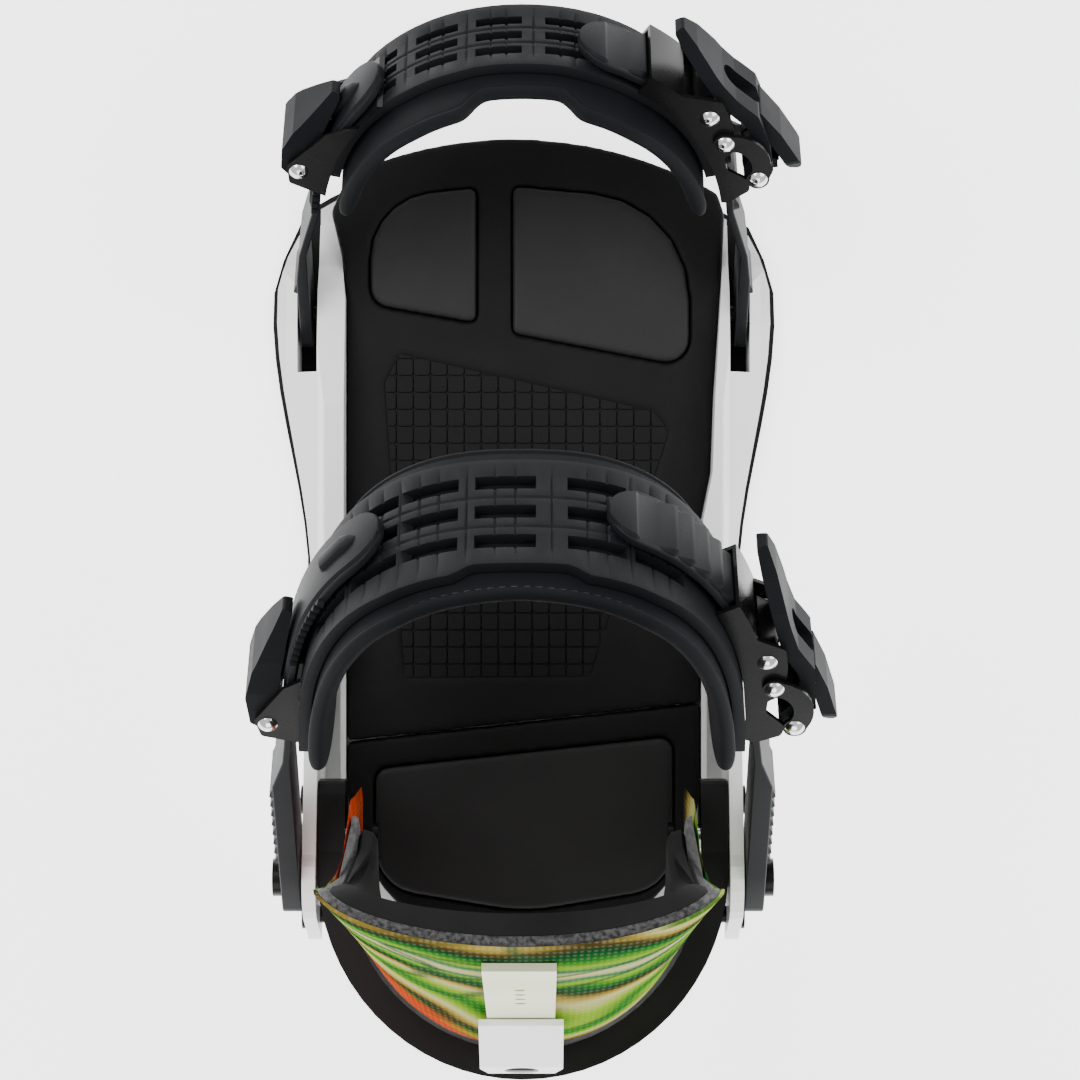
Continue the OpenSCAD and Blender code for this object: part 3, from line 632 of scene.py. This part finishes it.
ANKLE_PAD, TOE_PAD = (29.5, 30, 0, 3.5), (19, 24, 7)
make_shell(ANKLE, 1.5, [58, 75.5, 92, 108.5, 125, 143], [-11.2, -0.2, 10.8], (16, 4.8), (20, 22, 3))
make_shell(TOE, 14, [60, 78, 96, 114, 134], [-9.8, -3.3, 3.2], (13, 3.2), (17, 10, 0.5))
make_pad(ANKLE, 1, ANKLE_PAD, 0.6)
make_pad(TOE, 10, TOE_PAD, 0.5)
# the stitches' light grey colour is a painted highlight along the ankle pad's rim
make_stitches(ANKLE, 4, ANKLE_PAD, -4.2, 3.2)
for side, ankle_end, toe_end in ((1, 74, 76), (-1, 60, 50)):
    make_ladder(ANKLE, side, 64, ankle_end, 5.6, 50)
    make_ladder(TOE, side, 63.2, toe_end, 3.4, 22)


# ---- highback -------------------------------------------------------------------------------

# the straight part of the back leans 49 mm over the 175 mm from its lower end to its top
BACK_LOW = 75
BACK_LEAN = math.atan(49 / 175)
SWEEP = [(40, 117), (90, 117), (120, 97), (160, 86), (250, 75)]
LOW_EDGE = [(0, 63), (0.45, 60), (0.75, 40), (1, 36)]


def back_point(q, z, depth):
    """A point of the highback: q runs -1 to 1 across it, depth inward from its back face."""
    f = max(0, (z - 75) / 175)
    p = math.radians(abs(q) * table(z, SWEEP))
    quarter = math.pi / 2
    b = 48 - 29 * f - depth
    y = -95 + 20 * f + b * (-math.cos(p) if p < quarter else p - quarter)
    x = math.copysign((48 + 1.7 * f - depth) * math.sin(min(p, quarter)), q)
    return Vector((x, y, z))


def make_back_layer(name, node, finish, d0, d1, edge, floor_z, drop, round_over=0.4):
    """One layer of the highback between two depths, its rim rounded over."""
    across, up = 56, 40
    rings = []
    for i in range(across + 1):
        q = edge * (2 * i / across - 1)
        low = max(table(abs(q), LOW_EDGE), floor_z + 10 * q ** 4)
        high = 250 - 12 * q ** 6 - drop
        inset = 0.0 if 0 < i < across else round_over
        outer = [back_point(q, lerp(low, high, j / up), d0 + inset) for j in range(up + 1)]
        inner = [back_point(q, lerp(low, high, j / up), d1 - inset) for j in range(up, -1, -1)]
        rings.append(outer + inner)
    layer = loft(name, rings, finish, "highback")
    bevelled(layer, round_over * MM, 50, 3)
    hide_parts(node)
    return layer


make_back_layer("highback_print_shell", "highback_shell", "highback_print", 0, 0.9, 1, 0, 0)
make_back_layer("highback_felt_layer", "highback_felt", "grey_felt", 1.0, 3.4, 0.99, 86, 0.3)
foam = make_back_layer("highback_foam_pad", "highback_foam", "black_foam", 3.5, 8.6, 0.98, 90, 0.2, 1.2)


def make_screw_head():
    """The domed black head of the lean block's screw, level with the block's back face."""
    height, radius = 51, 4.3
    turns = [math.radians(a) for a in range(0, 360, 12)]
    back = Matrix.Translation((0, -143, BACK_LOW)) @ Matrix.Rotation(-BACK_LEAN, 4, "X")
    rings = []
    for out, r in ((10.9, radius), (12.2, radius), (12.7, radius * 0.8), (12.9, radius * 0.3)):
        rings.append([back @ Vector((r * math.cos(a), -out, height + r * math.sin(a))) for a in turns])
    loft("lean_screw_head", rings, "black_screw", "lean_block")


make_screw_head()


# ---- footbed --------------------------------------------------------------------------------

GRID = [(-37.4, 56.2), (39, 39), (44, 32.9), (20, -41), (-36, -41.5), (-42, 47)]


def depth_inside(point, start, end):
    """How far a point lies to the right of the line from start to end."""
    along_x, along_y = end[0] - start[0], end[1] - start[1]
    across = (point[0] - start[0]) * along_y - (point[1] - start[1]) * along_x
    return across / math.hypot(along_x, along_y)


def clipped(shape, outline, margin):
    """The part of a convex shape inside a convex outline, listed clockwise, by a margin."""
    for start, end in zip(outline, outline[1:] + outline[:1]):
        kept = []
        for a, b in zip(shape, shape[1:] + shape[:1]):
            da = depth_inside(a, start, end) - margin
            db = depth_inside(b, start, end) - margin
            if da >= 0:
                kept.append(a)
            if da * db < 0:
                kept.append((lerp(a[0], b[0], da / (da - db)), lerp(a[1], b[1], da / (da - db))))
        shape = kept
        if len(shape) < 3:
            return []
    return shape


def area(shape):
    return sum(a[0] * b[1] - b[0] * a[1] for a, b in zip(shape, shape[1:] + shape[:1])) / 2


def make_grip():
    """Small rounded squares that fill the footbed's shallow recess."""
    pitch, size, corner, low, high = 5.07, 4.7, 0.9, 19.1, 20.0
    points, faces = [], []
    for i in range(-9, 10):
        for j in range(-9, 12):
            x, y = i * pitch, j * pitch + 1
            square = []
            for cx, cy, a in ((1, 1, 0), (-1, 1, 90), (-1, -1, 180), (1, -1, 270)):
                for turn in (0, 30, 60, 90):
                    t = math.radians(a + turn)
                    square.append((x + cx * (size / 2 - corner) + corner * math.cos(t),
                                   y + cy * (size / 2 - corner) + corner * math.sin(t)))
            ring = clipped(square, GRID, 0.5)
            if len(ring) < 3 or area(ring) < 2:
                continue
            first, count = len(points), len(ring)
            points += [(px, py, low) for px, py in ring] + [(px, py, high) for px, py in ring]
            faces.append(tuple(first + count + k for k in range(count)))
            faces.append(tuple(first + k for k in reversed(range(count))))
            for k in range(count):
                n = (k + 1) % count
                faces.append((first + k, first + n, first + count + n, first + count + k))
    grip = mesh_object("footbed_grip_tiles", points, faces, "footbed_foam", "chassis", smooth=False)
    return bevelled(grip, 0.15 * MM, 40, 2)


make_grip()


# ---- stage, light and camera ----------------------------------------------------------------


def make_stage():
    bpy.ops.mesh.primitive_plane_add(size=30, location=(0, 0, -0.0005))
    floor = bpy.context.object
    floor.name = "floor"
    made = Shade("floor_paper", Roughness=0.9)
    made.colour(made.ramp(made.noise(3), [(0.3, (0.93, 0.93, 0.93)), (0.7, (0.95, 0.95, 0.95))]))
    made.shader.inputs["Emission Color"].default_value = (1, 1, 1, 1)
    made.shader.inputs["Emission Strength"].default_value = 2.2
    floor.data.materials.append(made.material)
    world = bpy.data.worlds.new("studio")
    world.use_nodes = True
    world.node_tree.nodes["Background"].inputs[0].default_value = (1, 1, 1, 1)
    world.node_tree.nodes["Background"].inputs[1].default_value = 0.95
    bpy.context.scene.world = world


def area_light(name, at, size, power):
    data = bpy.data.lights.new(name, "AREA")
    data.energy = power
    data.size = size
    lamp = bpy.data.objects.new(name, data)
    lamp.location = at
    lamp.rotation_euler = (-Vector(at)).to_track_quat("-Z", "Y").to_euler()
    bpy.context.collection.objects.link(lamp)


def make_camera():
    """Straight above, one metre over the board's face, with the toe end up in the picture."""
    data = bpy.data.cameras.new("camera")
    data.lens = 109.3
    camera = bpy.data.objects.new("camera", data)
    camera.location = (0.0049, 0, 1.0)
    bpy.context.collection.objects.link(camera)
    bpy.context.scene.camera = camera


make_stage()
area_light("key", (-0.7, 0.5, 1.3), 0.9, 16)
area_light("fill", (0.8, 0.2, 1.0), 0.8, 7)
area_light("heel", (0.0, -1.0, 0.8), 0.8, 7)
make_camera()
